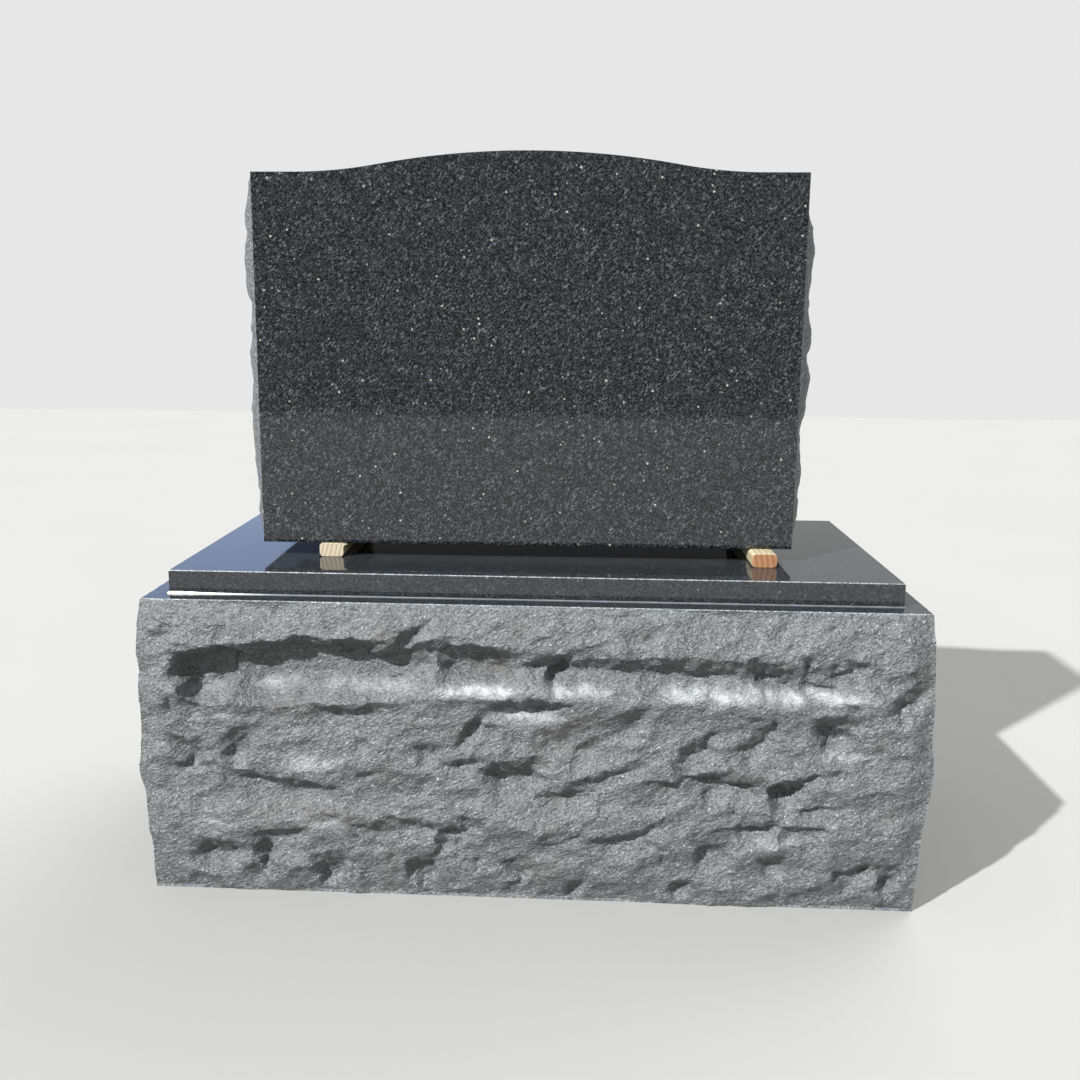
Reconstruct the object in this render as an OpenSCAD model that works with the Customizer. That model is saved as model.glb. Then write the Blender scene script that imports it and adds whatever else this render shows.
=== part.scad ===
// Headstone: a polished tablet with a serpentine top stands on two timber spacers,
// on a polished slab that lies on a rock-pitched base block.
// +X runs along the width, +Z is up and the polished front faces -Y.
// The origin is the centre of the base block's underside.

/* [Base block] */
// Width of the block between its top arrises
block_w = 900; // [700:5:1200]
// Depth of the block between its top arrises
block_d = 420; // [340:5:560]
// Height of the block
block_h = 360; // [240:5:460]

/* [Broken stone] */
// How far the block's broken front and back stand proud of their top arris
face_proud = 26; // [14:1:34]
// How far the block's broken ends stand proud of their top arris
side_proud = 20; // [12:1:30]
// How far the broken ends stand proud of the tablet's end arrises
tablet_proud = 20; // [10:1:26]
// Depth of the first ledge's lip below the top arris
first_lip = 45; // [30:1:60]
// Height of one course of ledges
course_h = 66; // [50:1:90]
// How far a ledge is cut back under its lip
ledge_cut = 28; // [10:1:36]
// Distance between neighbouring facets
facet = 22; // [18:1:40]

/* [Slab] */
// Width of the ledge that the block's top shows all round the slab
ledge_w = 25; // [10:1:50]
// Thickness of the slab
slab_t = 28; // [20:1:50]
// Arris taken off the slab's upper edges
slab_arris = 1.5; // [0.5:0.5:4]
// Height and width of the setting compound squeezed out at the slab's foot
bead_s = 4; // [2:0.5:6]

/* [Tablet] */
// Width of the tablet's polished face
tablet_w = 650; // [560:5:780]
// Height of the tablet at its shoulders
shoulder_h = 443; // [300:1:600]
// Rise of the serpentine top above the shoulders
crown_rise = 24; // [10:1:50]
// Distance from the middle to where the crown's convex arc meets the hollow
crown_half = 177; // [100:1:200]
// Length of each level shoulder
shoulder_l = 50; // [20:1:70]
// Thickness of the tablet
tablet_t = 190; // [120:5:240]
// Distance from the slab's front edge to the tablet's front face
setback = 88; // [50:1:120]
// How far the tablet stands off the block's centre line
tablet_shift = -11; // [-30:1:30]
// Turn of the tablet about the vertical, in degrees
tablet_turn = 0.7; // [-2:0.1:2]

/* [Spacers] */
// Width of a spacer
spacer_w = 30; // [20:1:50]
// Height of a spacer, which is the gap under the tablet
spacer_h = 17; // [10:1:30]
// Length of a spacer
spacer_l = 200; // [120:5:260]
// Pencil-round radius along a spacer's edges
spacer_r = 3; // [1:0.5:5]
// Distance from the tablet's left end to the left spacer's middle
left_inset = 85; // [30:1:150]
// Distance from the tablet's right end to the right spacer's middle
right_inset = 37; // [25:1:150]
// How far the left spacer shows in front of the tablet
left_show = 3; // [0:1:40]
// How far the right spacer shows in front of the tablet
right_show = 27; // [0:1:40]

/* [Hidden] */

$fn = 96;
slab_w = block_w - 2 * ledge_w;
slab_d = block_d - 2 * ledge_w;
tablet_z = block_h + slab_t + spacer_h;
front_y = setback - slab_d / 2;          // the polished front, on the tablet's own centre line

// Serpentine top: the crown and a hollow meet on one tangent, and the hollow ends level
half_run = tablet_w / 2 - shoulder_l;
sweep = 2 * atan(crown_rise / half_run);
crown_r = crown_half / sin(sweep);
hollow_r = half_run / sin(sweep) - crown_r;
top_step = 12;                           // length of one chord along the serpentine
bury = 1;                                // a cutting shape starts this far outside

// Broken stone
chance = rands(0, 1, 997, 11);
deepest = -4;                            // a hollow never cuts further behind the arris than this
arris_run = 18;                          // the face springs from its arris within this distance
belly_run = 60;                          // and swells to its full belly within this one
corner_run = 40;                         // chips die down this near a vertical corner
foot_run = 130;                          // and the belly draws in this far above the underside
jitter = 0.45;                           // share of a facet by which its corners are scattered
belly_share = 0.45;                      // share of the proud stone that is belly, the rest is ledges
facet_bump = 9;                          // extra unevenness from facet to facet
lip_share = 0.35;                        // share of a course that falls back under its lip
slow_run = 150;                          // length of a ledge's long waves
slow_sway = 44;                          // and their height
quick_run = 60;                          // length of its short waves
quick_sway = 24;                         // and their height
cut_run = 95;                            // a ledge's cut varies over this length
least_cut = 0.25;                        // from this share of the full cut
bump_run = 38;                           // facets vary over this length
bump_drop = 30;                          // and over this depth
corner_share = 0.4;                      // share of the relief that is left at a vertical corner
foot_share = 0.3;                        // and at the underside
end_belly = 0.6;                         // belly of a tablet end, as a share of its proud stone
end_ledges = 0.55;                       // and its ledges, as a share of the block's

function scatter(i, j) = chance[(i * 37 + j * 101) % len(chance)];
function fade(t) = let (c = max(0, min(1, t))) c * c * (3 - 2 * c);
function mix(a, b, t) = a + (b - a) * t;
function noise(x, y) =
    let (i = floor(x), j = floor(y), s = fade(x - i), t = fade(y - j))
    mix(mix(scatter(i, j), scatter(i + 1, j), s),
        mix(scatter(i, j + 1), scatter(i + 1, j + 1), s), t);
function swell(d, run) = 1 - pow(1 - min(d / run, 1), 2);
// One course: full at the lip, cut back under it, then growing out to the next lip
function tooth(f) =
    f < lip_share ? 1 - f / lip_share : (f - lip_share) / (1 - lip_share);

// Relief of the ledges at a place along an arris and a depth below it
function ledges(along, depth) =
    let (wander = slow_sway * (noise(along / slow_run, 3.5) - 0.5)
                + quick_sway * (noise(along / quick_run, 7.5) - 0.5),
         phase = 1 + (depth - first_lip + wander) / course_h,
         course = floor(phase),
         cut = ledge_cut * mix(least_cut, 1, noise(along / cut_run + 5 * course, 20.5 + course)))
    cut * (tooth(phase - course) - 0.5)
        + facet_bump * (noise(along / bump_run, 40 + depth / bump_drop) - 0.5);

// How far a face of the block stands proud at a place along its arris and a depth below it
function block_out(along, to_corner, depth, proud) =
    let (belly = belly_share * proud * swell(depth, belly_run),
         corner = mix(corner_share, 1, fade(to_corner / corner_run)),
         foot = mix(foot_share, 1, fade((block_h - depth) / foot_run)),
         out = (belly + ledges(along, depth) * proud / face_proud) * corner * foot)
    min(1, depth / arris_run) * max(deepest, min(proud, out));

// How far a tablet end stands proud, from its front arris and its bottom
function end_out(across, up, from) =
    let (rim = min(across, tablet_t - across, up, shoulder_h - up),
         belly = end_belly * tablet_proud * swell(rim, belly_run),
         out = belly + end_ledges * ledges(from + across, shoulder_h - up))
    rim < 1 ? 0 : max(1, min(tablet_proud, out));

// Two triangles of one cell, split along either diagonal
function cell(a, b, c, d, flip) = flip ? [[a, b, c], [a, c, d]] : [[a, b, d], [b, c, d]];

cols_w = ceil(block_w / facet);
cols_d = ceil(block_d / facet);
rows = ceil(block_h / facet);
// Columns of one face, from its corner: [x, y, outward x, outward y, along, to a corner, proud]
function face_cols(n, length, corner, out, start, proud) =
    [for (i = [0 : n - 1])
        let (s = i * length / n, along = [-out[1], out[0]], at = corner + s * along,
             turn = i == 0 ? out - along : out)
        [at[0], at[1], turn[0], turn[1], start + s, min(s, length - s), proud]];
ring = concat(
    face_cols(cols_w, block_w, [-block_w / 2, -block_d / 2], [0, -1], 0, face_proud),
    face_cols(cols_d, block_d, [block_w / 2, -block_d / 2], [1, 0], block_w, side_proud),
    face_cols(cols_w, block_w, [block_w / 2, block_d / 2], [0, 1], block_w + block_d, face_proud),
    face_cols(cols_d, block_d, [-block_w / 2, block_d / 2], [-1, 0], 2 * block_w + block_d,
              side_proud));

function block_point(k, j) =
    let (c = ring[k], inner = j > 0 && j < rows ? 1 : 0, side = c[5] > 1 && j > 0 ? 1 : 0,
         depth = (j + inner * jitter * (scatter(k, j + 60) - 0.5)) * block_h / rows,
         slip = side * jitter * facet * (scatter(k, j + 90) - 0.5),
         out = block_out(c[4] + slip, c[5], depth, c[6]))
    [c[0] + c[2] * out - c[3] * slip, c[1] + c[3] * out + c[2] * slip, block_h - depth];

// Height of the serpentine top at a distance from the tablet's middle
function top_z(x) =
    abs(x) < crown_half
        ? shoulder_h + crown_rise - crown_r + sqrt(crown_r * crown_r - x * x)
        : shoulder_h + hollow_r - sqrt(hollow_r * hollow_r - pow(half_run - abs(x), 2));

tablet_cols = ceil(tablet_t / facet);
tablet_rows = ceil(shoulder_h / facet);
top_cols = 2 * ceil(half_run / top_step);
// The tablet's outline, up its right end, over the top and down the left: [x, z, outward x]
outline = concat(
    [for (j = [0 : tablet_rows]) [tablet_w / 2, j * shoulder_h / tablet_rows, 1]],
    [for (i = [top_cols : -1 : 0]) let (x = half_run * (2 * i / top_cols - 1)) [x, top_z(x), 0]],
    [for (j = [tablet_rows : -1 : 0]) [-tablet_w / 2, j * shoulder_h / tablet_rows, -1]]);

function tablet_point(k, i) =
    let (c = outline[k], from = 200 + 100 * c[2],
         loose = c[2] != 0 && i > 0 && i < tablet_cols && c[1] > 1 && c[1] < shoulder_h - 1,
         slip = loose ? jitter * facet : 0,
         across = i * tablet_t / tablet_cols + slip * (scatter(i, k + from) - 0.5),
         up = c[1] + slip * (scatter(i + 50, k + from) - 0.5))
    [c[0] + (loose ? c[2] * end_out(across, up, from) : 0), across, up];

// A closed skin over rings of n points each, with a fan at either end
module skin(points, n, first_middle, last_middle) {
    last = len(points) / n - 1;
    sides = [for (j = [0 : last - 1], k = [0 : n - 1])
        let (next = (k + 1) % n)
        each cell(j * n + k, j * n + next, (j + 1) * n + next, (j + 1) * n + k,
                  scatter(k, j + 30) > 0.5)];
    first_fan = [for (k = [0 : n - 1]) [(k + 1) % n, k, len(points)]];
    last_fan = [for (k = [0 : n - 1]) [last * n + k, last * n + (k + 1) % n, len(points) + 1]];
    polyhedron(concat(points, [first_middle, last_middle]), concat(sides, first_fan, last_fan));
}

module base_block() {
    n = len(ring);
    color("dimgray")
        skin([for (j = [0 : rows], k = [0 : n - 1]) block_point(k, j)], n,
             [0, 0, block_h], [0, 0, 0]);
}

// A block on the ground with an arris taken off its four upper edges
module arrised_block(w, d, h, arris) {
    reach = 2 * max(w, d);
    difference() {
        translate([-w / 2, -d / 2, 0])
            cube([w, d, h]);
        for (turn = [0 : 90 : 270], half = (turn % 180 == 0 ? w : d) / 2)
            rotate(turn)
                translate([half, -reach / 2, h - arris])
                    rotate([0, -45, 0])
                        cube([reach, reach, reach]);
    }
}

module plinth_slab() {
    color([0.16, 0.17, 0.18])
        translate([0, 0, block_h])
            arrised_block(slab_w, slab_d, slab_t, slab_arris);
}

// A fillet of setting compound along the slab's foot
module joint_bead() {
    color([0.62, 0.64, 0.66])
        translate([0, 0, block_h])
            difference() {
                arrised_block(slab_w + 2 * bead_s, slab_d + 2 * bead_s, bead_s, bead_s);
                translate([-slab_w / 2, -slab_d / 2, -bury])
                    cube([slab_w, slab_d, slab_t]);
            }
}

// Puts a thing drawn with its front at y = 0 in the tablet's place
module at_tablet(z) {
    translate([tablet_shift, front_y, z])
        rotate(tablet_turn)
            children();
}

module spacer(x, show) {
    color("burlywood")
        at_tablet(block_h + slab_t)
            translate([x, spacer_l - show, spacer_h / 2])
                rotate([90, 0, 0])
                    linear_extrude(spacer_l)
                        union() {
                            square([spacer_w - 2 * spacer_r, spacer_h], center = true);
                            square([spacer_w, spacer_h - 2 * spacer_r], center = true);
                            for (side = [-1, 1], edge = [-1, 1])
                                translate([side * (spacer_w / 2 - spacer_r),
                                           edge * (spacer_h / 2 - spacer_r)])
                                    circle(spacer_r);
                        }
}

module left_spacer() {
    spacer(left_inset - tablet_w / 2, left_show);
}

module right_spacer() {
    spacer(tablet_w / 2 - right_inset, right_show);
}

module tablet() {
    n = len(outline);
    color([0.2, 0.21, 0.22])
        at_tablet(tablet_z)
            skin([for (i = [0 : tablet_cols], k = [0 : n - 1]) tablet_point(k, i)], n,
                 [0, 0, shoulder_h / 2], [0, tablet_t, shoulder_h / 2]);
}

base_block();
plinth_slab();
joint_bead();
left_spacer();
right_spacer();
tablet();
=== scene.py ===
import math

import bmesh
import bpy
import numpy as np
from mathutils import Matrix, Vector


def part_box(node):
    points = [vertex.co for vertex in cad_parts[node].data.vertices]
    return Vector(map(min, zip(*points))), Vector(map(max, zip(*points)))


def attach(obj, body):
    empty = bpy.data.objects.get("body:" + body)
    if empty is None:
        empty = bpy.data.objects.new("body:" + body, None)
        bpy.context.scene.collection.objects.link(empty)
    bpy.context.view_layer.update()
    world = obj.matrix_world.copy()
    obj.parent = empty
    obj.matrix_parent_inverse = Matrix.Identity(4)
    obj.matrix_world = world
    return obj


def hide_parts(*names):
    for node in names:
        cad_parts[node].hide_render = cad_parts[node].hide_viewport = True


# Headstone: a black granite tablet on two battens, a polished slab and a rock-pitched base block.
# Shapes are worked out in millimetres, X across, Y to the back, Z up, and scaled to metres at the end.

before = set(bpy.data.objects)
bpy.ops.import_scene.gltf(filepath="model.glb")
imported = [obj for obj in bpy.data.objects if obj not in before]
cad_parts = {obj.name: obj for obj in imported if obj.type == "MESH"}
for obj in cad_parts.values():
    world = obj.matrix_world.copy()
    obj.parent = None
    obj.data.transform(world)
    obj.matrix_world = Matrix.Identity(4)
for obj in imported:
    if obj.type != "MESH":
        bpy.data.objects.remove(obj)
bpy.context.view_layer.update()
mm = 0.001
sharpest = 32                           # degrees: smoother edges are shaded round
print("frame loaded:", ", ".join(sorted(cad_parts)))

# Noise and broken stone

dice = np.random.default_rng(7).random(4096)
stone = {
    # waves that bend the lips of chips: (mm moved, wave length across, wave length down)
    "slowAcross": (7.0, 42, 26), "quickAcross": (4.0, 15, 10),
    "slowDown": (6.0, 46, 40), "quickDown": (3.4, 14, 12), "raggedDown": (1.5, 5.5, 5),
    "calmSlow": (5.0, 80, 60), "calmQuick": (0.4, 25, 12),
    "nickBend": (2, 9, 7),
    # scoops in the surface, and a grain of gradient noise: (mm deep, width, height)
    "facets": (6.0, 56, 32), "flakes": (3.4, 25, 15), "smallFlakes": (1.3, 12, 8), "dimples": (0.75, 7, 5),
    "grain": (0.4, 2.4, 2.4),
    "flakeTurn": (0.92, 0.40),         # about the cosine and sine of the flakes' slant
    "fadeIn": 12,                      # roughness grows over this below the arris
    "chipTaper": 0.34, "nickTaper": 0.35,   # share of a chip's length that dies out at each end
    "firstCourse": 48, "course": 62,   # down to the first row of random large chips, and row to row
    "courseLong": (50, 190), "courseTall": (9, 36),
}


def cellValue(ix, iy, salt):
    # a fixed random number for each cell of a grid
    return dice[(ix * 1597 + iy * 2749 + salt * 911 + (ix * iy % 61) * 37) % 4096]


def lattice(x, y, salt):
    # gradient noise: every corner of the grid has a random slope, and the four ramps are blended
    # with the fade 6t^5 - 15t^4 + 10t^3
    ix, iy = np.floor(x).astype(int), np.floor(y).astype(int)
    fx, fy = x - ix, y - iy

    def ramp(dx, dy):
        turn = 2 * np.pi * cellValue(ix + dx, iy + dy, salt)
        return np.cos(turn) * (fx - dx) + np.sin(turn) * (fy - dy)
    u, v = (t * t * t * (t * (t * 6 - 15) + 10) for t in (fx, fy))
    low = ramp(0, 0) * (1 - u) + ramp(1, 0) * u
    high = ramp(0, 1) * (1 - u) + ramp(1, 1) * u
    return 1.5 * (low * (1 - v) + high * v)


def scoops(x, y, salt):
    # every cell holds one tilted bowl, distance squared plus a slope, and the lowest bowl wins:
    # neighbours meet in sharp ridges, as conchoidal breaks do
    ix, iy = np.floor(x).astype(int), np.floor(y).astype(int)
    low = np.full(np.shape(x), 1.2)
    for dx in (-1, 0, 1):
        for dy in (-1, 0, 1):
            cx, cy = ix + dx, iy + dy
            qx = x - cx - cellValue(cx, cy, salt)
            qy = y - cy - cellValue(cx, cy, salt + 1)
            leanX = 0.9 * (cellValue(cx, cy, salt + 2) - 0.5)
            leanY = 0.9 * (cellValue(cx, cy, salt + 3) - 0.5)
            lift = 0.35 * cellValue(cx, cy, salt + 4)
            low = np.minimum(low, qx * qx + qy * qy + leanX * qx + leanY * qy + lift)
    return low


def smooth(t):
    # 0 below 0, 1 above 1, and 3t^2 - 2t^3 between
    t = np.clip(t, 0, 1)
    return t * t * (3 - 2 * t)


def profile(pairs, at):
    # straight lines through (place, value) pairs
    places, values = zip(*pairs)
    return np.interp(at, places, values)


def waves(x, d, size, salt):
    # gradient noise of a given height and length both ways
    high, across, down = size
    return high * lattice(x / across, d / down, salt)


def bowls(x, d, size, shift, salt):
    # scoops of a given depth and width both ways, about their mean; shift moves the pattern
    deep, across, down = size
    return deep * (scoops(x / across + shift, d / down, salt) - 0.5)


def chipCut(x, d, calm, chips, taper):
    # below a slanting lip the stone is cut straight back, stays deep down the chip's face and rises
    # again over its run-out; face and depth die out towards both ends; the deepest chip wins. The
    # lip follows the ragged depth d, the run-out the calmer one.
    # Returns the cut and how much each point belongs to an overhanging face
    cut, under = np.zeros(np.shape(x)), np.zeros(np.shape(x))
    for x0, d0, x1, d1, drop, deep, rise in chips:
        t = (x - x0) / (x1 - x0)
        near = (t > 0) & (t < 1)
        lip = d0 + (d1 - d0) * t[near]
        below = d[near] - lip
        inside = smooth(np.minimum(t[near], 1 - t[near]) * (x1 - x0) / (taper * (x1 - x0) + 5))
        fall = drop * (0.3 + 0.7 * inside)
        steep = min(max(1.6 - drop / 38, 0.4), 0.9)    # tall chips are undercut, low ones slope back
        tent = np.clip(np.minimum(below / (steep * fall), 1 - (calm[near] - lip - fall) / rise), 0, 1)
        hang = smooth(below / 1.5) * smooth((fall - below) / 3 + 0.5) * smooth(inside * 4)
        wins = deep * inside * tent > cut[near]
        under[near] = np.where(wins, hang, under[near])
        cut[near] = np.maximum(cut[near], deep * inside * tent)
    return cut, under


def scatterChips(width, height, count, wide, tall, salt):
    # random chips, leaning mostly up to the right, as (across, below) pairs like the listed ones
    rng = np.random.default_rng(salt)
    chips = []
    for _ in range(count):
        x, d = rng.uniform(-width / 2, width / 2), rng.uniform(8, height - 8)
        half = rng.uniform(*wide) / 2
        lean = rng.uniform(-0.45, 0.2) * half
        drop = rng.uniform(*tall)
        chips.append((x - half, d - lean, x + half, d + lean, drop, drop * rng.uniform(0.25, 0.6),
                      drop * rng.uniform(1.5, 3)))
    return chips


def courseChips(width, height, salt):
    # rows of larger chips, one row to a course, with gaps and overlaps; the lower, the less tall
    rng = np.random.default_rng(salt)
    chips = []
    for course in np.arange(stone["firstCourse"], height - 30, stone["course"]):
        x = -width / 2 + rng.uniform(-10, 30)
        while x < width / 2:
            long = rng.uniform(*stone["courseLong"])
            d = course + rng.uniform(-14, 14)
            drop = rng.uniform(*stone["courseTall"]) * (1.1 - 0.5 * course / height)
            chips.append((x, d, x + long, d + rng.uniform(-22, 12), drop, drop * rng.uniform(0.4, 0.72),
                          drop * rng.uniform(1, 2.2)))
            x += long * rng.uniform(0.7, 1.9)
    return chips


def brokenSkin(x, d, bigChips, smallChips, salt):
    # relief of pitched stone about its belly: chips cut from it, scoops of four sizes and a grain,
    # all fading in just below the arris. Returns the relief and where it overhangs
    wx = x + waves(x, d, stone["slowAcross"], salt + 3) + waves(x, d, stone["quickAcross"], salt + 4)
    wd = (d + waves(x, d, stone["slowDown"], salt + 5) + waves(x, d, stone["quickDown"], salt + 6)
          + waves(x, d, stone["raggedDown"], salt + 8))
    calm = d + waves(x, d, stone["calmSlow"], salt + 5) + waves(x, d, stone["calmQuick"], salt + 7)
    nx = x + waves(x, d, stone["nickBend"], salt + 12)
    nd = d + waves(x, d, stone["nickBend"], salt + 13)
    cosine, sine = stone["flakeTurn"]
    sx, sd = x * cosine - d * sine, x * sine + d * cosine
    rough = (bowls(wx, wd, stone["facets"], 0, salt + 20)
             + bowls(sx, sd, stone["flakes"], 7, salt + 40)
             + bowls(sx, sd, stone["smallFlakes"], 5, salt + 50)
             + bowls(x, d, stone["dimples"], 3, salt + 60)
             + waves(x, d, stone["grain"], salt + 80)
             - chipCut(nx, nd, nd, smallChips, stone["nickTaper"])[0])
    cut, under = chipCut(wx, wd, calm, bigChips, stone["chipTaper"])
    return rough * smooth(d / stone["fadeIn"] + 0.1) - cut, under


# Making meshes


def gridQuads(rows, columns):
    # the quads of a grid of points stored row by row
    start = (np.arange(rows - 1)[:, None] * columns + np.arange(columns - 1)[None, :]).ravel()
    return np.stack([start, start + 1, start + columns + 1, start + columns], axis=1)


def makePiece(name, patches, materials, node, extras=()):
    # patches: (grid of points in mm, material number) or (one polygon's points, material number),
    # where columns after X, Y and Z hold the values named in extras; shared edges are merged, faces
    # turned outwards, and edges over the sharpest angle kept sharp
    points, faces, marks = [], [], []
    count = 0
    for patch, mark in patches:
        if patch.ndim == 3:
            quads = gridQuads(patch.shape[0], patch.shape[1]) + count
            patch = patch.reshape(-1, patch.shape[2])
        else:
            quads = np.arange(len(patch))[None, :] + count
        points.append(patch[:, :3 + len(extras)])
        faces += quads.tolist()
        marks += [mark] * len(quads)
        count += len(patch)
    mesh = bpy.data.meshes.new(name)
    points = np.concatenate(points)
    mesh.from_pydata((points[:, :3] * mm).tolist(), [], faces)
    for column, extra in enumerate(extras):
        values = mesh.attributes.new(extra, "FLOAT", "POINT")
        values.data.foreach_set("value", points[:, 3 + column].astype(np.float32))
    for material in materials:
        mesh.materials.append(material)
    mesh.polygons.foreach_set("material_index", np.array(marks, dtype=np.int32))
    shape = bmesh.new()
    shape.from_mesh(mesh)
    bmesh.ops.remove_doubles(shape, verts=shape.verts, dist=0.02 * mm)
    bmesh.ops.recalc_face_normals(shape, faces=shape.faces)
    shape.to_mesh(mesh)
    shape.free()
    mesh.polygons.foreach_set("use_smooth", np.ones(len(mesh.polygons), dtype=bool))
    mesh.set_sharp_from_angle(angle=math.radians(sharpest))
    piece = bpy.data.objects.new(name, mesh)
    bpy.context.scene.collection.objects.link(piece)
    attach(piece, "root")
    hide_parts(node)
    print(name, "made:", len(mesh.polygons), "faces")


# Materials


def hexColour(code):
    # sRGB to linear: c / 12.92 up to 0.04045, else ((c + 0.055) / 1.055) ^ 2.4
    srgb = np.array([int(code[i:i + 2], 16) for i in (1, 3, 5)]) / 255
    linear = np.where(srgb <= 0.04045, srgb / 12.92, ((srgb + 0.055) / 1.055) ** 2.4)
    return (*linear.tolist(), 1.0)


def addNode(tree, kind, inputs, **settings):
    # adds a node, sets its options, and fills each input with a value or a link
    node = tree.nodes.new("ShaderNode" + kind)
    for name, value in settings.items():
        setattr(node, name, value)
    for key, value in inputs.items():
        if isinstance(value, bpy.types.Node):
            value = value.outputs[0]
        if isinstance(value, bpy.types.NodeSocket):
            tree.links.new(value, node.inputs[key])
        else:
            node.inputs[key].default_value = value
    return node


def newMaterial(name, **sockets):
    # a material's node tree, its shader with constant values set, and its object coordinates
    material = bpy.data.materials.new(name)
    material.use_nodes = True
    tree = material.node_tree
    shader = tree.nodes["Principled BSDF"]
    for key, value in sockets.items():
        shader.inputs[key.replace("_", " ")].default_value = value
    place = addNode(tree, "TexCoord", {}).outputs["Object"]
    return material, tree, shader, place


def grains(tree, place, size, low, high):
    # one random value to a crystal of that size in mm, 0 under low and 1 over high
    cells = addNode(tree, "TexVoronoi", {"Vector": place, "Scale": 1 / (size * mm), "Randomness": 1.0})
    value = addNode(tree, "TexWhiteNoise", {0: cells.outputs["Color"]})
    return addNode(tree, "MapRange", {0: value, 1: low, 2: high}).outputs[0]


def blend(tree, share, below, above):
    # a mix of two colours: share 0 gives the one below, 1 the one above
    return addNode(tree, "Mix", {0: share, 6: below, 7: above}, data_type="RGBA").outputs[2]


def polishedGranite(name, ground, lath, show):
    # gabbro sold as black granite, ground and polished with fine diamond and felt: a near-black
    # mirror in which grey feldspar laths of 1 to 4 mm show, and now and then a bright one
    material, tree, shader, place = newMaterial(name, Roughness=0.05, IOR=1.54)
    drift = addNode(tree, "TexNoise", {"Vector": place, "Scale": 1 / (14 * mm), "Detail": 3.0})
    bent = addNode(tree, "TexNoise", {"Vector": place, "Scale": 1 / (2.5 * mm), "Detail": 1.0})
    wobble = addNode(tree, "VectorMath", {0: bent.outputs["Color"], 3: 1.0 * mm}, operation="SCALE")
    shaken = addNode(tree, "VectorMath", {0: place, 1: wobble.outputs[0]}, operation="ADD")
    # laths lie two ways: both maps stretch their crystals along a turned axis
    oneWay = addNode(tree, "Mapping", {0: shaken, 2: (0.5, 0.6, 0.4), 3: (2.3, 0.85, 0.85)},
                     vector_type="TEXTURE")
    otherWay = addNode(tree, "Mapping", {0: shaken, 2: (-0.6, -0.8, -0.5), 3: (2.3, 0.8, 0.8)},
                       vector_type="TEXTURE")
    fine = grains(tree, oneWay, 1.1, 0.4, 1.0)
    coarse = grains(tree, otherWay, 1.7, 0.78, 1.0)
    colour = blend(tree, fine, hexColour(ground), hexColour(lath))
    thin = addNode(tree, "MapRange", {0: drift.outputs[0], 1: 0.35, 2: 0.7, 3: 0.2 * show, 4: show})
    share = addNode(tree, "Math", {0: coarse, 1: thin}, operation="MULTIPLY")
    colour = blend(tree, share, colour, hexColour("#5a5e62"))
    spots = addNode(tree, "TexVoronoi", {"Vector": shaken, "Scale": 1 / (8 * mm)})
    dot = addNode(tree, "MapRange", {0: spots.outputs["Distance"], 1: 0.2, 2: 0.12, 4: show})
    pick = addNode(tree, "TexWhiteNoise", {0: spots.outputs["Color"]})
    chosen = addNode(tree, "MapRange", {0: pick, 1: 0.8, 2: 1.0})
    bright = addNode(tree, "Math", {0: dot, 1: chosen}, operation="MULTIPLY")
    colour = blend(tree, bright, colour, hexColour("#9a9a94"))
    tree.links.new(colour, shader.inputs["Base Color"])
    return material


def pitchedGranite():
    # the same stone split off with a pitching tool: every crystal is broken open and scatters light,
    # so it turns a sugary mid grey with a little iron brown; the up-facing bands carry a painted
    # highlight and the overhanging faces a painted shade
    material, tree, shader, place = newMaterial("pitchedBlackGranite", Roughness=0.45, IOR=1.54)
    # the grain is drawn out along a line rising 25 degrees to the right, as the blows ran
    leaned = addNode(tree, "Mapping", {0: place, 2: (0, math.radians(-25), 0), 3: (1.6, 1.0, 0.9)},
                     vector_type="TEXTURE")
    grain = grains(tree, leaned, 1.3, 0.0, 1.0)
    clump = grains(tree, leaned, 3.2, 0.0, 1.0)
    mixed = addNode(tree, "Mix", {0: 0.25, 2: grain, 3: clump})
    spread = addNode(tree, "MapRange", {0: mixed, 1: 0.1, 2: 0.95})
    colour = blend(tree, spread, hexColour("#343638"), hexColour("#696c6e"))
    spark = grains(tree, place, 1.6, 0.965, 1.0)
    colour = blend(tree, spark, colour, hexColour("#8c8f91"))
    stain = addNode(tree, "TexNoise", {"Vector": place, "Scale": 1 / (70 * mm), "Detail": 4.0})
    rust = addNode(tree, "MapRange", {0: stain, 1: 0.52, 2: 0.75, 4: 0.35})
    colour = blend(tree, rust, colour, hexColour("#463f37"))
    # painted highlight: the up-facing bands are whitened in the colour, more on the paler grains
    highlightShare = addNode(tree, "Attribute", {}, attribute_name="paintedHighlight").outputs["Fac"]
    patchy = addNode(tree, "Math", {0: highlightShare, 1: addNode(tree, "MapRange", {0: spread, 3: 0.55, 4: 1.0})},
                     operation="MULTIPLY")
    colour = blend(tree, patchy, colour, hexColour("#b2b5b7"))
    # painted shade: overhanging faces are darkened in the colour, standing in for their shadow
    paintedShadeMask = addNode(tree, "Attribute", {}, attribute_name="overhang").outputs["Fac"]
    paintedShadeShare = addNode(tree, "Math", {0: paintedShadeMask, 1: 0.25}, operation="MULTIPLY")
    colour = blend(tree, paintedShadeShare, colour, hexColour("#2e2c28"))
    tree.links.new(colour, shader.inputs["Base Color"])
    crystals = addNode(tree, "TexVoronoi", {"Vector": leaned, "Scale": 1 / (4.4 * mm), "Randomness": 1.0})
    lumps = addNode(tree, "TexNoise", {"Vector": leaned, "Scale": 1 / (2.0 * mm), "Detail": 3.0,
                                       "Roughness": 0.65})
    height = addNode(tree, "Mix", {0: 0.65, 2: crystals.outputs["Distance"], 3: lumps})
    bump = addNode(tree, "Bump", {"Strength": 1.0, "Distance": 3.2 * mm, "Height": height})
    tree.links.new(bump.outputs[0], shader.inputs["Normal"])
    return material


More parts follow.
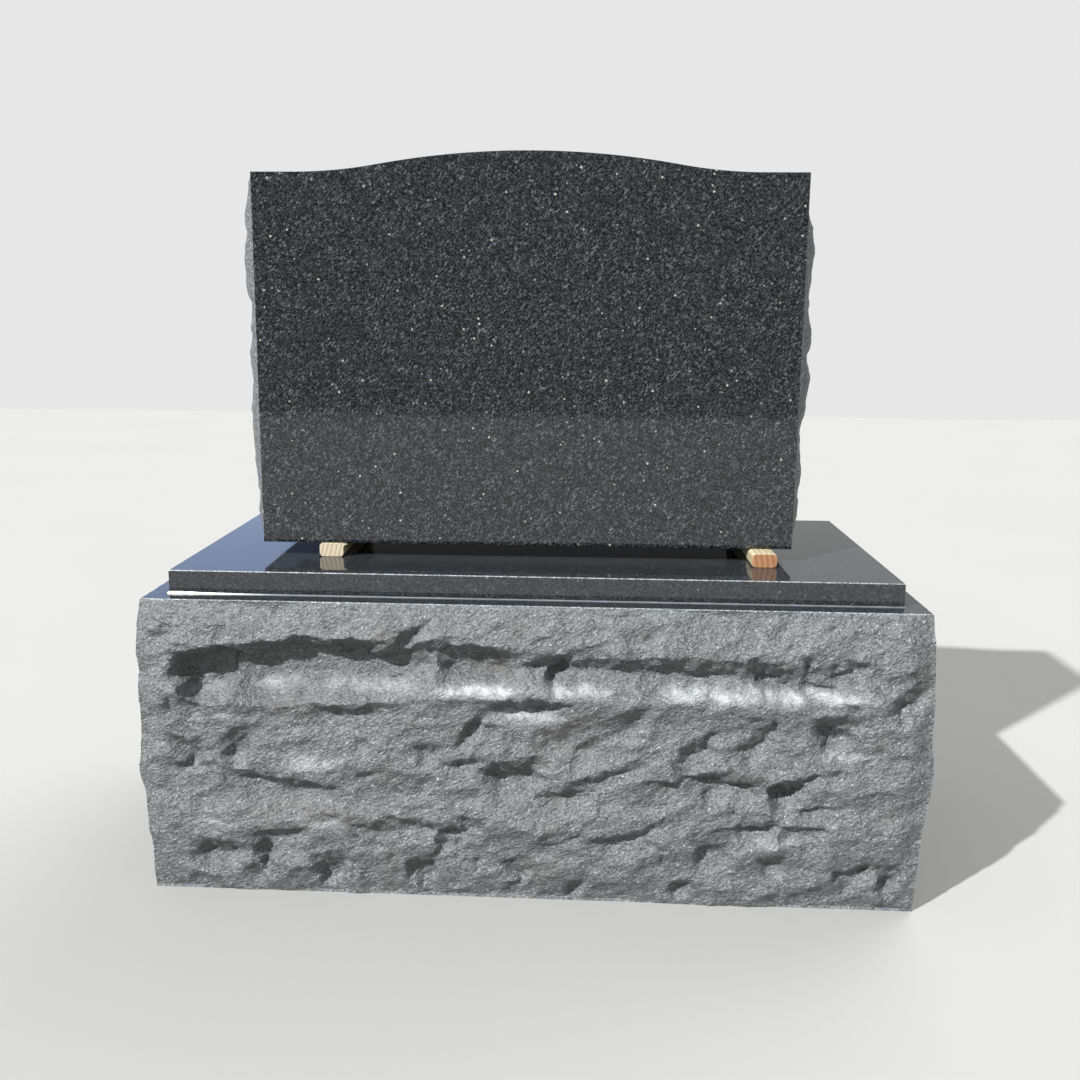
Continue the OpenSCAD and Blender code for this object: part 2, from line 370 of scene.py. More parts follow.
def groundArris():
    # the edge rubbed down by hand with a coarse stone: it scatters, so it shows as a pale line
    material, tree, shader, place = newMaterial("handRubbedGraniteArris", Roughness=0.42, IOR=1.54)
    colour = blend(tree, grains(tree, place, 2.0, 0.2, 1.0), hexColour("#4c5154"), hexColour("#8b9094"))
    tree.links.new(colour, shader.inputs["Base Color"])
    return material


sawGap = 9


def sawnGranite():
    # the underside as the wire saw left it: flat, grey and dull, with faint parallel scores about
    # sawGap mm apart; the wave texture makes about 3.2 waves to a unit
    material, tree, shader, place = newMaterial("wireSawnGranite", Roughness=0.8, IOR=1.5)
    colour = blend(tree, grains(tree, place, 2.0, 0.0, 1.0), hexColour("#5a5c5e"), hexColour("#86898b"))
    tree.links.new(colour, shader.inputs["Base Color"])
    scores = addNode(tree, "TexWave", {"Vector": place, "Scale": 1 / (3.2 * sawGap * mm), "Distortion": 1.0})
    bump = addNode(tree, "Bump", {"Strength": 0.4, "Distance": 0.4 * mm, "Height": scores.outputs[1]})
    tree.links.new(bump.outputs[0], shader.inputs["Normal"])
    return material


def settingCompound():
    # polyester stone setting compound pressed out of the joint, grey; a painted white glint lies at
    # the front left end and gives way to the grey further along and towards the back
    material, tree, shader, place = newMaterial("settingCompoundPaintedGlint", Roughness=0.5, IOR=1.5)
    across = addNode(tree, "SeparateXYZ", {0: place})
    patchy = addNode(tree, "TexNoise", {"Vector": place, "Scale": 1 / (22 * mm), "Detail": 2.0})
    # painted glint: white near the front left corner, the grey bead tone elsewhere
    along = addNode(tree, "MapRange", {0: across.outputs[0], 1: -0.40, 2: -0.30})
    behind = addNode(tree, "MapRange", {0: across.outputs[1], 1: -0.18, 2: -0.15})
    awayFromGlint = addNode(tree, "Math", {0: along, 1: behind}, operation="MAXIMUM")
    beadTone = blend(tree, patchy, hexColour("#3e4449"), hexColour("#646c72"))
    colour = blend(tree, awayFromGlint, hexColour("#e8e8e4"), beadTone)
    tree.links.new(colour, shader.inputs["Base Color"])
    return material


battenBed = 388                         # mm from the floor up to the battens' underside


def pine(name, early, late, ringSize, bow):
    # planed softwood, quarter sawn: pale early wood and darker late wood in rings about ringSize mm
    # apart round a far pith, bow mm below the batten near the middle of the stone, so the end shows
    # almost upright stripes and the top straight lines; 0.314 is a tenth of pi, as the wave texture
    # makes 20 / (2 pi) waves to a unit
    material, tree, shader, place = newMaterial(name, Roughness=0.7, IOR=1.45)
    centred = addNode(tree, "Mapping", {0: place, 1: (0.012, 0, (bow - battenBed) * mm)})
    rings = addNode(tree, "TexWave", {"Vector": centred, "Scale": 0.314 / (ringSize * mm), "Distortion": 2.5,
                                      "Detail": 2.0, "Detail Scale": 2.0},
                    wave_type="RINGS", rings_direction="Y", wave_profile="SIN")
    fibre = addNode(tree, "TexNoise", {"Vector": addNode(tree, "Mapping", {0: place, 3: (900, 60, 900)}),
                                       "Scale": 1.0, "Detail": 3.0})
    mixed = addNode(tree, "Mix", {0: 0.35, 2: rings.outputs[1], 3: fibre.outputs[0]})
    colour = blend(tree, mixed, hexColour(early), hexColour(late))
    tree.links.new(colour, shader.inputs["Base Color"])
    bump = addNode(tree, "Bump", {"Strength": 0.35, "Distance": 0.3 * mm, "Height": mixed})
    tree.links.new(bump.outputs[0], shader.inputs["Normal"])
    return material


def studioPaper():
    # matt background paper whose tone drifts very slightly from place to place
    material, tree, shader, place = newMaterial("mattBackgroundPaper", Roughness=0.95)
    drift = addNode(tree, "TexNoise", {"Vector": place, "Scale": 1.5})
    lighter = blend(tree, drift, hexColour(studio["floor"]), hexColour("#868684"))
    tree.links.new(lighter, shader.inputs["Base Color"])
    return material


polished = polishedGranite("diamondPolishedBlackGranite", "#060708", "#303335", 0.95)
slabPolish = polishedGranite("buffedBlackGranite", "#1a1c1e", "#323538", 0.35)
pitched, rubbed, sawn = pitchedGranite(), groundArris(), sawnGranite()
compound = settingCompound()
pineSide = pine("planedPineSide", "#a29c84", "#837757", 6.0, 40)
pineLeftEnd = pine("crossSawnPineEnd", "#aca492", "#887a60", 5.4, 46)
pineRightEnd = pine("weatheredPineEnd", "#936a4a", "#6d4a2d", 6.5, 34)
print("materials made")

# Base block

block = {
    "width": 900, "depth": 420, "height": 360,     # between the top arrises
    "frontStep": 2.5, "rowStep": 2.5, "sideStep": 4.8, "backStep": 7,
    "arris": 0.9,                                  # ground edge round the top
    "cornerRun": 55,                               # how far a corner's bulge reaches along a face
    # how far the front stands proud, going down from the top arris: (mm below it, mm proud)
    "crests": ((0, 0), (20, 9), (46, 17), (78, 19), (104, 25), (130, 19), (166, 17), (196, 21), (232, 16),
               (268, 19), (300, 12), (330, 10), (352, 4), (361, 1)),
    # the ends in the same way, at the front corner and at the middle
    "leftCorner": ((0, 0), (30, 4), (90, 5), (150, 4), (205, 8), (240, 3), (300, 1.5), (361, 0)),
    "rightCorner": ((0, 0), (30, 3), (90, 6), (140, 5), (180, 11), (230, 6), (260, 2), (361, 0)),
    "endBelly": ((0, 0), (30, 8), (90, 11), (140, 9), (190, 15), (240, 8), (280, 6), (361, 1)),
    # chips on the front: lip from (across, below) to (across, below), face height, cut, run-out
    "chips": (
        (-430, 60, -50, 42, 48, 31, 17), (-190, 40, 470, 66, 23, 14, 24),
        (-424, 56, -310, 46, 54, 35, 16), (-352, 48, -226, 36, 54, 34, 16),
        (-300, 48, -190, 38, 50, 33, 16), (-236, 44, -158, 34, 42, 28, 18),
        (-194, 40, -82, 38, 34, 20, 30), (-144, 40, 24, 47, 39, 24, 20), (6, 66, 56, 40, 32, 26, 22),
        (36, 40, 132, 54, 24, 15, 22), (92, 52, 204, 62, 20, 16, 24), (176, 60, 266, 58, 20, 14, 28),
        (236, 54, 318, 62, 32, 24, 20), (286, 64, 362, 70, 20, 16, 24), (344, 48, 392, 62, 11, 9, 20),
        (396, 92, 456, 66, 24, 17, 24), (-444, 32, -406, 30, 12, 8, 16),
        (-158, 32, -118, 18, 22, 13, 14), (102, 24, 156, 14, 22, 12, 20), (302, 48, 328, 40, 22, 9, 12),
        (-412, 112, -366, 112, 14, 9, 26), (-416, 156, -374, 166, 34, 14, 26),
        (-364, 154, -310, 136, 38, 14, 22), (-270, 110, -140, 106, 22, 8, 36),
        (-88, 154, -38, 110, 18, 11, 18), (-62, 108, 66, 103, 15, 13, 16),
        (-54, 134, -26, 136, 9, 6, 12), (-138, 162, -90, 154, 18, 8, 24), (0, 142, 74, 138, 18, 8, 26),
        (38, 154, 92, 148, 18, 8, 24), (76, 128, 142, 104, 24, 9, 26), (-66, 182, 36, 170, 30, 17, 26),
        (-120, 172, -40, 174, 16, 8, 24), (40, 202, 146, 174, 12, 8, 20),
        (164, 162, 222, 128, 20, 10, 26), (232, 156, 292, 108, 24, 10, 26),
        (314, 116, 380, 117, 34, 17, 14), (160, 180, 218, 158, 15, 8, 18),
        (-450, 188, -352, 191, 11, 8, 30), (-376, 192, -208, 217, 19, 14, 38),
        (164, 184, 290, 189, 20, 17, 28), (264, 198, 324, 188, 26, 20, 20),
        (140, 198, 186, 201, 10, 8, 18), (0, 214, 76, 217, 12, 8, 24), (294, 190, 342, 180, 10, 8, 16),
        (308, 228, 358, 223, 7, 7, 16), (-174, 256, -98, 256, 14, 11, 22),
        (-122, 260, -56, 255, 20, 14, 22), (-88, 247, -38, 248, 14, 8, 20),
        (62, 276, 172, 243, 17, 10, 26), (236, 254, 296, 238, 17, 14, 22),
        (278, 246, 352, 255, 11, 8, 22), (180, 264, 256, 256, 30, 12, 28),
        (-340, 277, -242, 267, 12, 7, 24), (-220, 265, -100, 261, 10, 7, 26),
        (-406, 293, -328, 291, 20, 12, 24), (-326, 286, -296, 278, 36, 14, 18),
        (-346, 324, -296, 314, 18, 9, 18), (-262, 308, -206, 299, 30, 14, 18),
        (-148, 304, -96, 292, 36, 13, 18), (-30, 306, 10, 301, 22, 9, 18),
        (262, 288, 310, 281, 20, 9, 24), (346, 300, 404, 292, 22, 13, 20),
        (396, 302, 440, 297, 26, 13, 18), (162, 328, 200, 318, 20, 9, 16),
        (34, 338, 72, 331, 16, 8, 12),
    ),
    "nicks": 150,                                  # small chips scattered over the front and the back
    "nickWidth": (12, 46), "nickHeight": (4, 11),
    "deepest": 14,                                 # most that a chip goes in behind the arris
    "foot": (0.5, 2.5),                            # least and most that the foot stands proud
    "plainPaintedShade": 0.3,                              # share of painted shade under the ledges of the unseen faces
    # painted highlight along the bright up-facing bands: from, to, below the arris, half height, strength
    "paintedHighlightBands": (
        (-408, -346, 107, 9, 0.6), (-338, -248, 99, 9, 0.5), (-256, -116, 97, 9, 0.45),
        (-120, 8, 97, 8, 1.0), (-4, 108, 93, 8, 0.65), (135, 404, 95, 10, 0.65),
        (-378, -326, 134, 6, 0.6), (-54, 48, 127, 8, 0.55), (-295, -198, 190, 12, 0.5),
        (318, 402, 165, 8, 0.4), (-408, -332, 269, 9, 0.5), (-288, -192, 267, 9, 0.6),
        (250, 334, 272, 6, 0.35), (-205, -178, 84, 12, 0.5),
    ),
}


def frontBelly(x, d, toCorner, skin, salt):
    # crests by depth, swaying 9 mm along the face, with a slow swell; the whole lies lower within
    # 30 mm of a corner
    swayed = d + 9 * lattice(x / 130, 4.5, salt + 11)
    swell = 2.2 * lattice(x / 150, d / 60, salt + 9) * smooth(d / 60)
    return (profile(block["crests"], swayed) + swell + skin) * (0.55 + 0.45 * smooth(toCorner / 30))


def endBelly(side, x, d, toCorner, skin, salt):
    # the middle's belly, turning into the corner's own line over the last 40 mm, where the broken
    # skin also flattens
    belly = profile(block["endBelly"], d + 9 * lattice(x / 90, 4.5, salt + 11))
    corner = profile(block[side + "Corner"], d)
    share = smooth(toCorner / 40)
    return corner * (1 - share) + belly * share + skin * (0.18 + 0.82 * share)


def paintedHighlightMask(x, d, salt):
    # painted highlight: each band is a bell curve across a line that wavers 4 mm, and it dies out
    # over 40 mm at both ends; the strongest wins
    highlightShare = np.zeros_like(x)
    wave = d + 4 * lattice(x / 30, 0.7, salt + 21)
    for start, end, below, half, strength in block["paintedHighlightBands"]:
        ends = smooth((x - start) / 40) * smooth((end - x) / 40)
        bell = np.exp(-((wave - below) / (0.65 * half)) ** 2)
        highlightShare = np.maximum(highlightShare, strength * (ends * bell))
    return highlightShare


def blockFaces():
    # front, right, back and left as outward relief over (along, below), with a nearly straight
    # arris on top and a foot that is nearly plumb
    high, arris = block["height"], block["arris"]
    below = np.linspace(block["rowStep"] + 1, high, round(high / block["rowStep"]) - 1)
    rows = np.concatenate([[0, arris], below])
    halfW, halfD = block["width"] / 2, block["depth"] / 2
    low, top = (np.array(corner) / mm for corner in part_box("base_block"))
    # side: length, step, salt, and the most that it may stand proud within the CAD's box
    sides = {
        "front": (2 * halfW, block["frontStep"], 0, -low[1] - halfD),
        "right": (2 * halfD, block["sideStep"], 200, top[0] - halfW),
        "back": (2 * halfW, block["backStep"], 400, top[1] - halfD),
        "left": (2 * halfD, block["sideStep"], 600, -low[0] - halfW),
    }
    reliefs = {}
    for side, (length, step, salt, limit) in sides.items():
        s = np.linspace(-length / 2, length / 2, round(length / step) + 1)
        x, d = np.meshgrid(s, rows)
        big = block["chips"] if side == "front" else courseChips(length, high, salt)
        count = round(block["nicks"] * length / block["width"])
        small = scatterChips(length, high, count, block["nickWidth"], block["nickHeight"], salt + 5)
        skin, under = brokenSkin(x, d, big, small, salt)
        toCorner = length / 2 - np.abs(x)
        if side in ("front", "back"):
            relief = frontBelly(x, d, toCorner, skin, salt)
        else:
            relief = endBelly(side, x, d, toCorner, skin, salt)
        # the arris itself is straight but for small nibbles
        nib = -0.9 * smooth((lattice(x / 9, 3.3, salt + 15) - 0.1) * 4)
        relief = np.where(d == 0, nib - 0.6, np.where(d == arris, nib * 0.5 + 0.3, relief))
        relief = np.where(d >= high, np.clip(relief, *block["foot"]), relief)
        relief = np.clip(relief, -block["deepest"], limit - 0.05)
        # painted highlight bands, on the front only
        highlightShare = paintedHighlightMask(x, d, salt) if side == "front" else np.zeros_like(x)
        highlightShare *= 0.8 + 0.5 * lattice(x / 9, d / 6, salt + 22)
        # the unseen faces get a weaker painted shade under their ledges
        if side != "front":
            under = block["plainPaintedShade"] * under
        reliefs[side] = (s, relief, np.clip(highlightShare, 0, 1), under)
    return rows, reliefs


def placeFaces(rows, reliefs):
    # turns each face a quarter further round; where two faces meet, each is carried along by its
    # neighbour's relief, dying out within the corner run
    high = block["height"]
    halfW, halfD = block["width"] / 2, block["depth"] / 2
    order = ("front", "right", "back", "left")
    grids = []
    for quarter, side in enumerate(order):
        s, relief, highlightShare, under = reliefs[side]
        before = reliefs[order[quarter - 1]][1][:, -1][:, None]
        after = reliefs[order[(quarter + 1) % 4]][1][:, 0][:, None]
        half = s[-1]
        nearStart = smooth(1 - (s + half) / block["cornerRun"])[None, :]
        nearEnd = smooth(1 - (half - s) / block["cornerRun"])[None, :]
        along = s[None, :] - before * nearStart + after * nearEnd
        out = (halfD if side in ("front", "back") else halfW) + relief
        angle = quarter * math.pi / 2
        # the front faces -Y and runs along +X; each next face is a quarter turn further
        tangent = np.round([math.cos(angle), math.sin(angle)])
        outward = np.round([math.sin(angle), -math.cos(angle)])
        z = np.broadcast_to(high - rows[:, None], relief.shape)
        grids.append(np.stack([along * tangent[0] + out * outward[0],
                               along * tangent[1] + out * outward[1], z, highlightShare, under], axis=2))
    return grids


rows, reliefs = blockFaces()
grids = placeFaces(rows, reliefs)
patches = []
for grid in grids:
    patches.append((grid[:2], 1))
    patches.append((grid[1:], 0))
top = np.concatenate([grid[0, :-1] for grid in grids])
foot = np.concatenate([grid[-1, :-1] for grid in grids])
patches.append((top, 2))
patches.append((foot, 3))
# the two extra values per point carry painted highlight and painted shade into the stone's colour
makePiece("rockPitchedBlock", patches, [pitched, rubbed, slabPolish, sawn],
          "base_block", ("paintedHighlight", "overhang"))

# Slab and bead

slab = {"inset": 25, "thick": 28, "arris": 1.0}
bead = {"thick": 2.5, "thin": 1.2, "fade": 110, "most": 3.9, "step": 4}


def carried(outline, halfW, halfD):
    # a profile of (outwards, up) points carried round a rectangle, mitred at its corners
    corners = np.array([(-1, -1), (1, -1), (1, 1), (-1, 1), (-1, -1)])
    sides = []
    for outwards, up in outline:
        reach = corners * (halfW + outwards, halfD + outwards)
        sides.append(np.column_stack([reach, np.full(5, up)]))
    return np.array(sides)


slabW = block["width"] / 2 - slab["inset"]
slabD = block["depth"] / 2 - slab["inset"]
slabLow = block["height"]
slabTop = slabLow + slab["thick"]
eased = slab["arris"]
slabSides = carried([(0, slabLow), (0, slabTop - eased)], slabW, slabD)
slabArris = carried([(0, slabTop - eased), (-eased * 0.4, slabTop - eased * 0.4), (-eased, slabTop)],
                    slabW, slabD)
slabFace = carried([(-eased, slabTop)], slabW, slabD)[0, :4]
slabBed = carried([(0, slabLow)], slabW, slabD)[0, :4]
makePiece("polishedSlab", [(slabSides, 0), (slabArris, 1), (slabFace, 0), (slabBed, 2)],
          [slabPolish, rubbed, sawn], "plinth_slab")


def beadGrid():
    # a quarter-round fillet in the angle of slab and ledge, closed behind; its size falls from thick
    # to thin over the first stretch from the front left corner, and is lumpiest where it is thick
    lengths = np.array([2 * slabW, 2 * slabD, 2 * slabW, 2 * slabD])
    corners = np.array([(-1, -1), (1, -1), (1, 1), (-1, 1)]) * (slabW, slabD)
    tangents = np.array([(1, 0), (0, 1), (-1, 0), (0, -1)], dtype=float)
    path, normals, run = [], [], []
    for i in range(4):
        count = round(lengths[i] / bead["step"])
        s = np.arange(count) / count * lengths[i]
        path.append(corners[i] + s[:, None] * tangents[i])
        outward = np.tile([tangents[i][1], -tangents[i][0]], (count, 1))
        outward[0] += -tangents[i]
        normals.append(outward)
        run.append(s + lengths[:i].sum())
    path, normals, run = np.concatenate(path), np.concatenate(normals), np.concatenate(run)
    fading = smooth(run / bead["fade"])
    size = bead["thick"] + (bead["thin"] - bead["thick"]) * fading
    lumps = (0.22 - 0.1 * fading) * lattice(run / 11, 0.5, 3)
    ripples = 0.12 * lattice(run / 3.5, 2.5, 4)
    size = np.minimum(size * (1 + lumps + ripples), bead["most"])
    outline = np.array([(0, 0), (1, 0), (0.93, 0.4), (0.7, 0.72), (0.38, 0.94), (0, 1)])
    ring = []
    for outwards, up in np.vstack([outline, outline[:1]]):
        ring.append(np.column_stack([path + normals * (outwards * size)[:, None],
                                     slabLow + up * size]))
    ring = np.array(ring)
    return np.concatenate([ring, ring[:, :1]], axis=1)


makePiece("settingBead", [(beadGrid(), 0)], [compound], "joint_bead")

# Tablet

tablet = {
    "width": 650, "shoulder": 443, "rise": 24, "crownRadius": 1020, "level": 50, "thick": 190,
    "shift": -11, "front": -97, "turn": 0.7,
    "arris": 1.2, "step": 3, "stations": 60,
    "rimRun": 24,                                  # the broken ends swell to their full bulge in this
    "skinShare": 0.55, "mostProud": 19,            # how strong the ends' relief is, and its limit
    "nicks": 40, "nickWidth": (12, 40), "nickHeight": (4, 10),
    # bulge of the broken ends, going down from the shoulder: (mm below it, mm proud)
    "leftBulge": ((0, 0), (14, 13), (29, 18), (65, 17), (95, 17), (127, 19), (160, 13), (190, 12),
                  (225, 15), (280, 13), (325, 14.5), (370, 11), (405, 9), (443, 2)),
    "rightBulge": ((0, 0), (40, 3), (60, 10), (83, 13), (120, 13), (154, 11.5), (181, 16), (226, 17),
                   (255, 15), (285, 8), (316, 8), (350, 11), (380, 9), (405, 9.5), (443, 2)),
}

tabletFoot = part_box("tablet")[0].z / mm
atTablet = (Matrix.Translation(Vector((tablet["shift"], tablet["front"], 0)))
            @ Matrix.Rotation(math.radians(tablet["turn"]), 4, "Z"))
turned = np.array(atTablet)


def toPlace(points):
    # turns and moves a thing drawn with its front at y = 0
    flat = points.reshape(-1, 3)
    return (flat @ turned[:3, :3].T + turned[:3, 3]).reshape(points.shape)


def topHeight(x):
    # serpentine: a convex arc over the middle, crown - sqrt(crown^2 - x^2) below its top, and a concave
    # one either side that ends level; the arcs are tangent where they meet, at crown * sin(sweep)
    run = tablet["width"] / 2 - tablet["level"]
    sweep = 2 * math.atan(tablet["rise"] / run)
    crown = tablet["crownRadius"]
    hollow = run / math.sin(sweep) - crown
    inside = np.abs(x) < crown * math.sin(sweep)
    x1 = np.clip(np.abs(x), 0, run)
    convex = tablet["rise"] - crown + np.sqrt(crown ** 2 - x1 ** 2)
    concave = hollow - np.sqrt(hollow ** 2 - np.minimum(run - x1, hollow) ** 2)
    return tablet["shoulder"] + np.where(inside, convex, concave)


def endOut(y, z, side):
    # a broken end: the bulge at that height, drifting by about a quarter, plus a share of the broken
    # skin, times 1 - (1 - distance from the rim / rim run)^2; the rims are nibbled a little
    name, salt = ("leftBulge", 800) if side < 0 else ("rightBulge", 900)
    d = tablet["shoulder"] - z
    thick = tablet["thick"]
    rim = np.minimum(np.minimum(y, thick - y), np.minimum(z, d))
    share = 1 - (1 - np.clip(rim / tablet["rimRun"], 0, 1)) ** 2
    x = y - thick / 2
    skin = brokenSkin(x, d + 40, courseChips(thick, tablet["shoulder"], salt + 1),
                      scatterChips(thick, tablet["shoulder"], tablet["nicks"], tablet["nickWidth"],
                                   tablet["nickHeight"], salt + 2), salt)[0]
    drift = 1 + waves(x, d, (0.25, 60, 70), salt + 3)
    out = share * (profile(tablet[name], d) * drift + tablet["skinShare"] * skin)
    nib = -0.7 * smooth((lattice((y + z) / 7, (y - z) / 7, salt + 4) - 0.15) * 4)
    return np.where(rim <= 0.01, nib, np.clip(out, 0.3, tablet["mostProud"]))


def tabletPoint(x, y, z):
    # carries a point of the plain block out onto a broken end, and eases the polished arrises by
    # drawing their corner points in by 0.3 of the arris both ways
    out = np.zeros(np.shape(x))
    half = tablet["width"] / 2
    for side in (-1, 1):
        atEnd = np.isclose(x, side * half)
        if atEnd.any():
            out[atEnd] = side * endOut(y[atEnd], z[atEnd], side)
    cut = tablet["arris"] * 0.3
    front, back = np.isclose(y, 0), np.isclose(y, tablet["thick"])
    upper, lower = np.isclose(z, topHeight(x)), np.isclose(z, 0)
    corner = (front | back) & (upper | lower)
    ny = y + corner * cut * (front.astype(float) - back)
    nz = z + corner * cut * (lower.astype(float) - upper)
    return np.stack([x + out, ny, nz], axis=-1)


def stations(length, step, edge):
    # 0, the arris, even steps, the other arris, the length
    inner = np.linspace(edge, length - edge, round(length / step))
    return np.concatenate([[0], inner, [length]])


def tabletPatches():
    # front and back, top and underside, then the two ends, as grids that share their edges
    half, thick = tablet["width"] / 2, tablet["thick"]
    xs = np.linspace(-half, half, tablet["stations"] + 1)
    ys = stations(thick, tablet["step"], tablet["arris"])
    ts = stations(tablet["shoulder"], tablet["step"], tablet["arris"]) / tablet["shoulder"]
    x, t = np.meshgrid(xs, ts)
    patches = [(tabletPoint(x, np.full_like(x, y), t * topHeight(x)), 0) for y in (0, thick)]
    x, y = np.meshgrid(xs, ys)
    patches += [(tabletPoint(x, y, topHeight(x)), 0), (tabletPoint(x, y, np.zeros_like(x)), 0)]
    y, t = np.meshgrid(ys, ts)
    for side in (-1, 1):
        x = np.full_like(y, side * half)
        patches.append((tabletPoint(x, y, t * tablet["shoulder"]), 1))
    return [(toPlace(grid + [0, 0, tabletFoot]), mark) for grid, mark in patches]


makePiece("serpentineTablet", tabletPatches(), [polished, pitched], "tablet")

# Battens

battens = {
    "width": 30, "height": 17, "length": 200, "round": 4.6,
    "leftInset": 85, "rightInset": 37, "leftShow": 3, "rightShow": 27,
    "eased": 0.7,                                  # how far back the sharp end edges are worn
    # torn fibres at the left one's front: how far they stick out, how far in from the corner they
    # start, how far round that they reach, and how far they lift
    "splinter": 6, "tornIn": 1.2, "tornReach": 2.6, "tornLift": 0.8,
}


def battenPiece(name, middle, show, endMaterial, torn, node):
    # a rectangle with rounded corners carried along Y, its end edges a little eased, closed at both
    # ends; four quarter circles of radius r make the corners
    halfW, halfH, r = battens["width"] / 2, battens["height"] / 2, battens["round"]
    angles = np.radians(np.arange(0, 91, 22.5))
    corner = []
    for i, (sx, sz) in enumerate(((1, 1), (-1, 1), (-1, -1), (1, -1))):
        turn = angles + i * math.pi / 2
        corner.append(np.column_stack([sx * (halfW - r) + r * np.cos(turn),
                                       sz * (halfH - r) + r * np.sin(turn)]))
    outline = np.concatenate(corner)
    length, eased = battens["length"], battens["eased"]
    ys = np.concatenate([[0, eased], np.arange(8, length - 4, 8), [length - eased, length]])
    shrink = np.where((ys == 0) | (ys == length), 0.5, 0.0)
    grid = np.zeros((len(ys), len(outline) + 1, 3))
    ring = np.vstack([outline, outline[:1]])
    grid[:, :, 0] = middle + ring[None, :, 0] * (1 - shrink / halfW)[:, None]
    grid[:, :, 1] = ys[:, None] - show
    grid[:, :, 2] = halfH + ring[None, :, 1] * (1 - shrink / halfH)[:, None]
    if torn:
        # the fibres at the front's upper corner are torn out to a point
        inset = battens["tornIn"]
        away = np.hypot(ring[:, 0] - halfW + inset, ring[:, 1] - halfH + inset)
        near = smooth(1 - away / battens["tornReach"])[None, :]
        pull = near * (ys[:, None] < 2)
        grid[:, :, 0] += pull * battens["splinter"]
        grid[:, :, 2] += pull * battens["tornLift"]
    grid[:, :, 2] += slabTop
    placed = toPlace(grid)
    makePiece(name, [(placed, 0), (placed[0, :-1], 1), (placed[-1, :-1], 1)],
              [pineSide, endMaterial], node)


halfTablet = tablet["width"] / 2
battenPiece("leftBatten", battens["leftInset"] - halfTablet, battens["leftShow"], pineLeftEnd, True,
            "left_spacer")
battenPiece("rightBatten", halfTablet - battens["rightInset"], battens["rightShow"], pineRightEnd, False,
            "right_spacer")

# Camera and studio

view = {
    "place": (53.5, -1350.0, 683.6),   # mm
    "turnLeft": 2.884,                 # degrees from straight on
    "lookDown": 10.057,
    "tilt": 0.378,
    "lens": 34.747,                    # mm on a 36 mm sensor
    "shift": (0.0123, -0.0363),
}
studio = {
    "keyFrom": (-46.0, 40.0),          # degrees: left of the front, above the floor
    "keyStrength": 9.0,                # W/m2 square on to the light
    "keySoftness": 1.2,                # degrees across
    "rearFrom": (140.0, 45.0), "rearStrength": 3.0, "rearSoftness": 45.0,
    "roomFront": 0.3, "roomBack": 0.5,  # how bright polish sees the room in front and behind
    "fill": 1.0,                        # how bright the room is as light on matt stone
    "backdrop": 0.8,                    # what the camera sees
    "coolPanel": {"place": (-2100, 3000, 1300), "size": (2300, 2200), "power": 10, "colour": "#4a9cfb"},
    "floor": "#828280",
    "floorSize": 12000,
}


def makeCamera():
    # stands at its place and is turned about the vertical, tipped down and tilted, in that order
    camera = bpy.data.cameras.new("camera")
    camera.lens = view["lens"]
    camera.sensor_width = 36
    camera.shift_x, camera.shift_y = view["shift"]
    camera.clip_end = 100
    camera.dof.use_dof = False
    holder = bpy.data.objects.new("camera", camera)
    bpy.context.scene.collection.objects.link(holder)
    holder.matrix_world = (Matrix.Translation(Vector(view["place"]) * mm)
                           @ Matrix.Rotation(math.radians(view["turnLeft"]), 4, "Z")
                           @ Matrix.Rotation(math.radians(90 - view["lookDown"]), 4, "X")
                           @ Matrix.Rotation(math.radians(view["tilt"]), 4, "Z"))
    bpy.context.scene.camera = holder


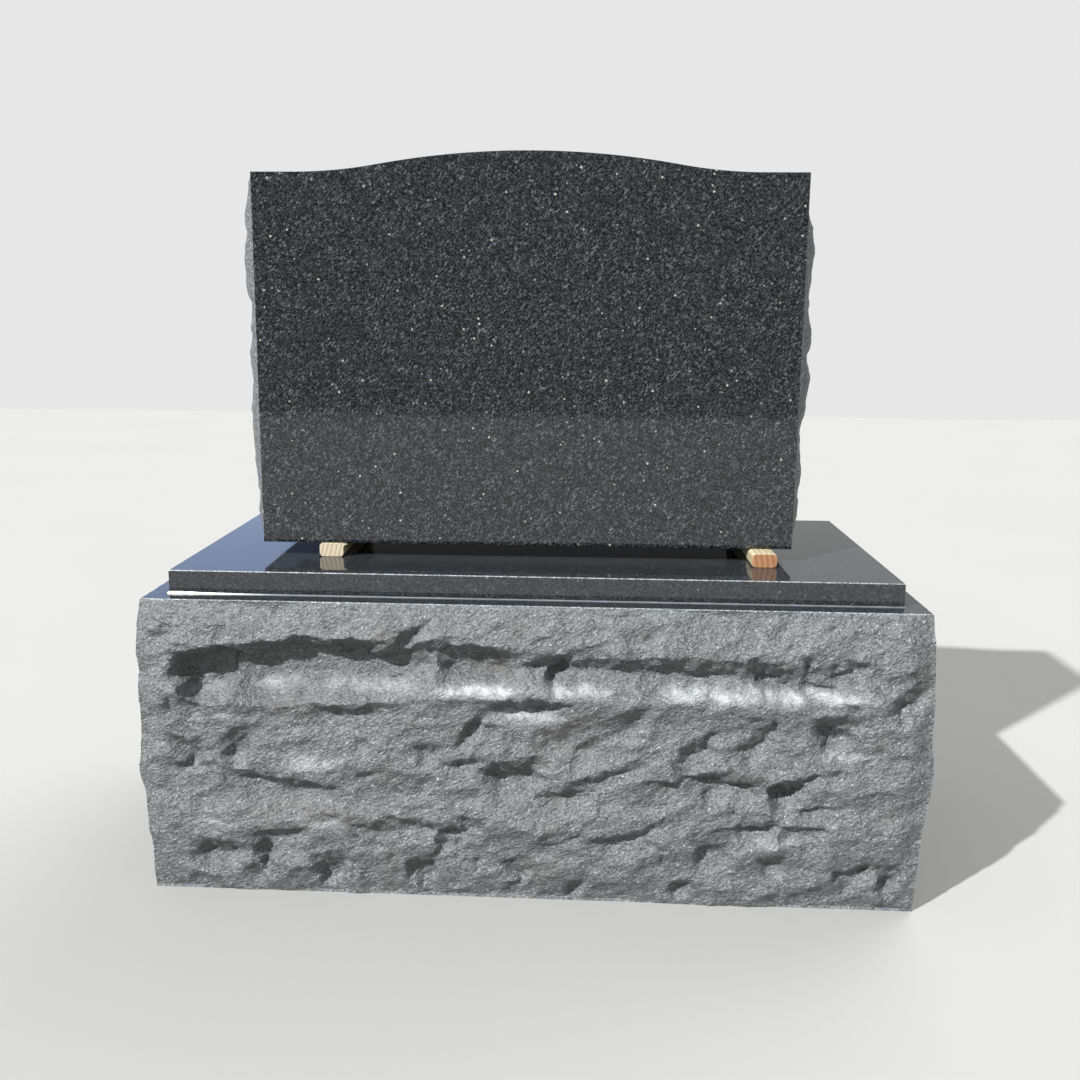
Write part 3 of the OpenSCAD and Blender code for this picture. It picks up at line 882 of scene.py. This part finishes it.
def makeStudio():
    # a key sun, a soft sun behind that no polish mirrors, a cool panel seen only in polish, the room
    # and the floor
    for name in ("key", "rear"):
        across, up = (math.radians(angle) for angle in studio[name + "From"])
        towards = Vector((-math.sin(across) * math.cos(up), math.cos(across) * math.cos(up), -math.sin(up)))
        lamp = bpy.data.lights.new(name, "SUN")
        lamp.energy = studio[name + "Strength"]
        lamp.angle = math.radians(studio[name + "Softness"])
        holder = bpy.data.objects.new(name, lamp)
        holder.rotation_euler = towards.to_track_quat("-Z", "Y").to_euler()
        holder.visible_glossy = name == "key"
        bpy.context.scene.collection.objects.link(holder)
    panel = studio["coolPanel"]
    cool = bpy.data.lights.new("coolPanel", "AREA")
    cool.shape = "RECTANGLE"
    cool.size, cool.size_y = (side * mm for side in panel["size"])
    cool.energy = panel["power"]
    cool.color = hexColour(panel["colour"])[:3]
    coolHolder = bpy.data.objects.new("coolPanel", cool)
    place = Vector(panel["place"]) * mm
    coolHolder.location = place
    coolHolder.rotation_euler = (Vector((0, 0, 0.4)) - place).to_track_quat("-Z", "Y").to_euler()
    coolHolder.visible_camera = False
    coolHolder.visible_diffuse = False
    bpy.context.scene.collection.objects.link(coolHolder)
    world = bpy.data.worlds.new("studioWorld")
    world.use_nodes = True
    # polished stone mirrors a room that is dim in front and paler behind; matt stone is lit by an even
    # glow, and the backdrop is a plain pale one
    tree = world.node_tree
    facing = addNode(tree, "SeparateXYZ", {0: addNode(tree, "TexCoord", {}).outputs["Generated"]})
    room = addNode(tree, "MapRange", {0: facing.outputs[1], 1: -0.6, 2: 0.5, 3: studio["roomFront"],
                                      4: studio["roomBack"]})
    seen = addNode(tree, "LightPath", {})
    lighting = addNode(tree, "Mix", {0: seen.outputs["Is Glossy Ray"], 2: studio["fill"], 3: room})
    strength = addNode(tree, "Mix", {0: seen.outputs["Is Camera Ray"], 2: lighting, 3: studio["backdrop"]})
    background = tree.nodes["Background"]
    background.inputs["Color"].default_value = (1, 1, 1, 1)
    tree.links.new(strength.outputs[0], background.inputs["Strength"])
    bpy.context.scene.world = world
    half = studio["floorSize"] / 2
    floorMesh = bpy.data.meshes.new("floor")
    corners = [(x * half * mm, y * half * mm, 0) for x, y in ((-1, -1), (1, -1), (1, 1), (-1, 1))]
    floorMesh.from_pydata(corners, [], [(0, 1, 2, 3)])
    floorMesh.materials.append(studioPaper())
    floor = bpy.data.objects.new("floor", floorMesh)
    bpy.context.scene.collection.objects.link(floor)


makeCamera()
makeStudio()
bpy.context.scene.view_settings.view_transform = "Standard"
print("camera and studio made")
